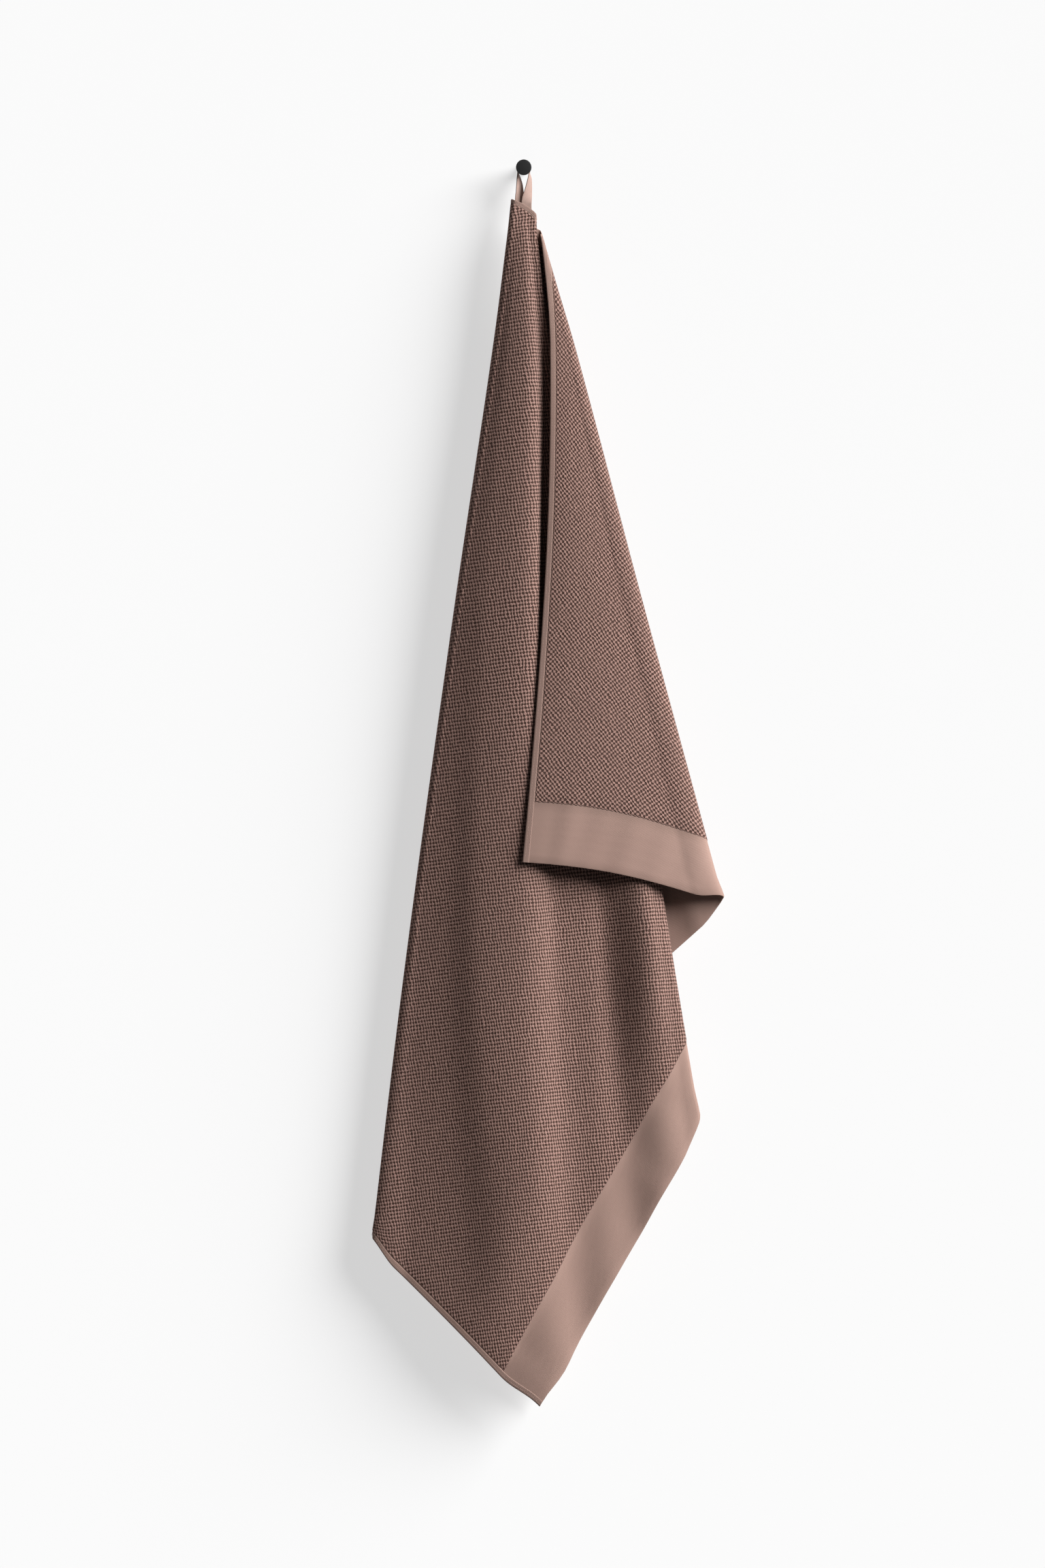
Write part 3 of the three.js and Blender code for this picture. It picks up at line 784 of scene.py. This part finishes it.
class Finish:
    """A material that is written as sums on its sockets."""

    def __init__(self, name):
        self.material = bpy.data.materials.new(name)
        self.material.use_nodes = True
        self.tree = self.material.node_tree
        self.shader = self.tree.nodes["Principled BSDF"]

    def node(self, kind, **settings):
        made = self.tree.nodes.new(kind)
        for key, value in settings.items():
            setattr(made, key, value)
        return made

    def give(self, node, key, value):
        socket = node.inputs[key]
        if isinstance(value, Value):
            self.tree.links.new(value.socket, socket)
        else:
            socket.default_value = value

    def math(self, operation, *values):
        made = self.node("ShaderNodeMath", operation=operation)
        for index, value in enumerate(values):
            self.give(made, index, value)
        return Value(self, made.outputs[0])

    def out(self, node, index=0):
        return Value(self, node.outputs[index])

    def mix(self, factor, first, second):
        made = self.node("ShaderNodeMix", data_type="RGBA")
        self.give(made, 0, factor)
        self.give(made, 6, first)
        self.give(made, 7, second)
        return Value(self, made.outputs[2])

    def noise(self, vector, scale, detail=2.0, roughness=0.5):
        made = self.node("ShaderNodeTexNoise", noise_dimensions="3D")
        self.give(made, "Vector", vector)
        self.give(made, "Scale", scale)
        self.give(made, "Detail", detail)
        self.give(made, "Roughness", roughness)
        return Value(self, made.outputs[0])

    def step(self, value, low, high):
        made = self.node("ShaderNodeMapRange", interpolation_type="SMOOTHSTEP")
        self.give(made, 0, value)
        self.give(made, 1, low)
        self.give(made, 2, high)
        return Value(self, made.outputs[0])

    def cloth_map(self):
        """The flat cloth's two coordinates, in millimetres."""
        made = self.node("ShaderNodeUVMap", uv_map="cloth")
        split = self.node("ShaderNodeSeparateXYZ")
        self.give(split, 0, self.out(made))
        return self.out(split, 0) * 1000.0, self.out(split, 1) * 1000.0, self.out(made)

    def bump(self, height, strength, distance):
        made = self.node("ShaderNodeBump")
        self.give(made, "Height", height)
        self.give(made, "Strength", strength)
        self.give(made, "Distance", distance)
        return self.out(made)

    def set(self, **values):
        for key, value in values.items():
            self.give(self.shader, key.replace("_", " "), value)


WEAVE_ALONG = 2.7
WEAVE_ACROSS = 2.6
TERRY_LIGHT = (0.37, 0.226, 0.19, 1)
# The pile's deep colour is painted shade: the near-black that stands for the shadow in the hollows between
# the loops.
TERRY_PORE_SHADE = (0.07, 0.038, 0.03, 1)
FLAT_LIGHT = (0.38, 0.255, 0.214, 1)
FLAT_DEEP = (0.285, 0.184, 0.152, 1)
TWILL_PITCH = 1.1
TWILL_RELIEF = 0.12
PILE_RELIEF = 0.0014
PATCH_COLOR = (0.2, 0.12, 0.1, 1)
PATCH_SHARE = 0.16


def flat_weave(finish, u, v, vector, pitch):
    """A fine twill: slanting ribs crossed by single threads. Returns height and tone."""
    ribs = finish.math("SINE", (u + v * 0.55) * (2 * math.pi / pitch))
    threads = finish.math("SINE", v * (2 * math.pi / (pitch * 0.7)))
    fibre = finish.noise(vector, 1400.0, 3.0, 0.6)
    height = ribs * 0.3 + threads * 0.2 + fibre * 0.8
    return height, finish.step(height, -0.5, 1.2)


def terry_finish():
    """Seed-like terry pile, with a flat twill on the hems and the borders. The hollows between the loops
    are painted near black as shade.
    """
    finish = Finish("taupe_terry")
    u, v, vector = finish.cloth_map()
    warp = finish.noise(vector, 85.0, 2.0)
    wander = finish.noise(vector, 14.0, 2.0)
    pu = u / WEAVE_ALONG + (warp - 0.5) * 1.5 + (wander - 0.5) * 0.8
    pv = v / WEAVE_ACROSS - (warp - 0.5) * 1.3 + (wander - 0.5) * 0.6
    seeds = finish.math("COSINE", pu * math.pi) * finish.math("COSINE", pv * math.pi)
    tufts = finish.noise(vector, 420.0, 2.0, 0.6)
    fluff = finish.noise(vector, 1500.0, 2.0, 0.6)
    height = finish.step(seeds + (tufts - 0.5) * 1.3, -0.45, 0.4)
    height = height + (tufts - 0.5) * 0.3 + (fluff - 0.5) * 0.45
    narrow = finish.step(finish.math("ABSOLUTE", u), *HEM_NARROW) * (1 - HEM_LEAST) + HEM_LEAST
    from_side = finish.math("MINIMUM", v, TOWEL_WIDTH - v) / narrow
    from_end = TOWEL_LENGTH / 2 - finish.math("ABSOLUTE", u)
    pile = finish.step(from_side, HEM_WIDTH, HEM_WIDTH + 0.8)
    pile = pile * finish.step(from_end, BORDER_WIDTH, BORDER_WIDTH + 1.0)
    flat_height, flat_tone = flat_weave(finish, u, v, vector, TWILL_PITCH)
    # Painted shade: the lower the pile at a place, the nearer its colour comes to the near-black of the
    # shaded hollows.
    tone = finish.step(height, -0.1, 1.0)
    terry = finish.mix(tone, TERRY_PORE_SHADE, TERRY_LIGHT)
    flat = finish.mix(flat_tone, FLAT_DEEP, FLAT_LIGHT)
    patches = finish.noise(vector, 9.0, 3.0, 0.55)
    color = finish.mix(pile, flat, terry)
    color = finish.mix(finish.step(patches, 0.25, 0.8) * PATCH_SHARE, color, PATCH_COLOR)
    relief = pile * height + (1.0 - pile) * flat_height * TWILL_RELIEF
    finish.set(Base_Color=color, Roughness=finish.step(tone, -1, 2) * 0.1 + 0.88,
               Normal=finish.bump(relief, 0.9, PILE_RELIEF))
    finish.set(Sheen_Weight=0.08, Sheen_Roughness=0.5, Sheen_Tint=(0.75, 0.6, 0.52, 1),
               Specular_IOR_Level=0.1)
    return finish.material


def tape_finish(name, light, deep, pitch):
    finish = Finish(name)
    u, v, vector = finish.cloth_map()
    height, tone = flat_weave(finish, u, v, vector, pitch)
    finish.set(Base_Color=finish.mix(tone, deep, light), Roughness=tone * 0.08 + 0.85,
               Normal=finish.bump(height, 0.6, 0.0002))
    finish.set(Sheen_Weight=0.06, Sheen_Roughness=0.5, Specular_IOR_Level=0.1)
    return finish.material


def peg_finish():
    """Matt black paint with a very fine grain."""
    finish = Finish("matt_black_paint")
    spot = finish.node("ShaderNodeTexCoord")
    grain = finish.noise(finish.out(spot, 3), 900.0, 2.0)
    finish.set(Base_Color=finish.mix(grain, (0.004, 0.004, 0.004, 1), (0.008, 0.008, 0.009, 1)),
               Roughness=grain * 0.12 + 0.5, Normal=finish.bump(grain, 0.12, 0.0001))
    return finish.material


def dress(obj, material, node=None):
    obj.data.materials.clear()
    obj.data.materials.append(material)
    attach(obj, "root")
    if node:
        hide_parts(node)


terry = terry_finish()
hem_twill = tape_finish("hem_twill", (0.32, 0.215, 0.18, 1), (0.23, 0.148, 0.122, 1), 1.0)
thread = tape_finish("sewing_thread", (0.37, 0.25, 0.212, 1), (0.29, 0.19, 0.16, 1), 0.5)
loop_tape = tape_finish("loop_tape_twill", (0.42, 0.3, 0.257, 1), (0.3, 0.2, 0.17, 1), 1.3)
dress(sheet, terry, "towel")
for piece in (near_hem, far_hem):
    dress(piece, hem_twill)
dress(stitches, thread)
dress(tape, loop_tape, "hanging_loop")
dress(peg, peg_finish(), "peg")

# The pale wall behind, seen only from the room, and the floor.
FLOOR_HEIGHT = -2.3
STAGE_HALF = 6.0
WALL_GLOW = 0.61


def add_plane(name, location, rotation):
    """A large flat plane of the set."""
    bpy.ops.object.select_all(action="DESELECT")
    bpy.ops.mesh.primitive_plane_add(size=2 * STAGE_HALF, location=location, rotation=rotation)
    plane = bpy.context.object
    plane.name = name
    bpy.ops.object.transform_apply(location=True, rotation=True, scale=True)
    return plane


def build_stage():
    wall = add_plane("wall_backdrop", (0, 0, 0), (math.pi / 2, 0, 0))
    finish = Finish("pale_wall")
    finish.set(Base_Color=(0.34, 0.34, 0.34, 1), Roughness=0.9, Specular_IOR_Level=0.1)
    finish.set(Emission_Color=(1, 1, 1, 1), Emission_Strength=WALL_GLOW)
    seen = finish.node("ShaderNodeNewGeometry")
    clear = finish.node("ShaderNodeBsdfTransparent")
    blend = finish.node("ShaderNodeMixShader")
    finish.give(blend, 0, finish.out(seen, 6))
    finish.tree.links.new(finish.shader.outputs[0], blend.inputs[1])
    finish.tree.links.new(clear.outputs[0], blend.inputs[2])
    finish.tree.links.new(blend.outputs[0], finish.tree.nodes["Material Output"].inputs[0])
    wall.data.materials.append(finish.material)
    floor = add_plane("floor", (0, 0, FLOOR_HEIGHT), (0, 0, 0))
    plain = Finish("pale_floor")
    plain.set(Base_Color=(0.09, 0.09, 0.09, 1), Roughness=0.9, Specular_IOR_Level=0.1)
    floor.data.materials.append(plain.material)


def add_sun(name, toward, strength, spread):
    """A far, soft studio light that shines from one direction."""
    light = bpy.data.lights.new(name, "SUN")
    light.energy, light.angle = strength, math.radians(spread)
    obj = bpy.data.objects.new(name, light)
    obj.rotation_euler = Vector(toward).to_track_quat("Z", "Y").to_euler()
    bpy.context.scene.collection.objects.link(obj)


KEY_TOWARD = (0.78, -0.45, 0.5)
KEY_STRENGTH = 6.8
KEY_SPREAD = 40
WORLD_STRENGTH = 0.05
build_stage()
add_sun("key_light", KEY_TOWARD, KEY_STRENGTH, KEY_SPREAD)

world = bpy.data.worlds.new("studio")
bpy.context.scene.world = world
world.use_nodes = True
world.node_tree.nodes["Background"].inputs[0].default_value = (1, 1, 1, 1)
world.node_tree.nodes["Background"].inputs[1].default_value = WORLD_STRENGTH
bpy.context.scene.view_settings.view_transform = "Standard"

# A far camera, level and straight at the wall.
CAMERA_PLACE = (-0.0014, -12.05, -0.6984)
CAMERA_LENS = 243.5
camera_data = bpy.data.cameras.new("camera")
camera_data.lens = CAMERA_LENS
camera_data.sensor_width = 36
camera_data.clip_end = 30
camera = bpy.data.objects.new("camera", camera_data)
camera.location = CAMERA_PLACE
camera.rotation_euler = (math.pi / 2, 0, 0)
bpy.context.scene.collection.objects.link(camera)
bpy.context.scene.camera = camera
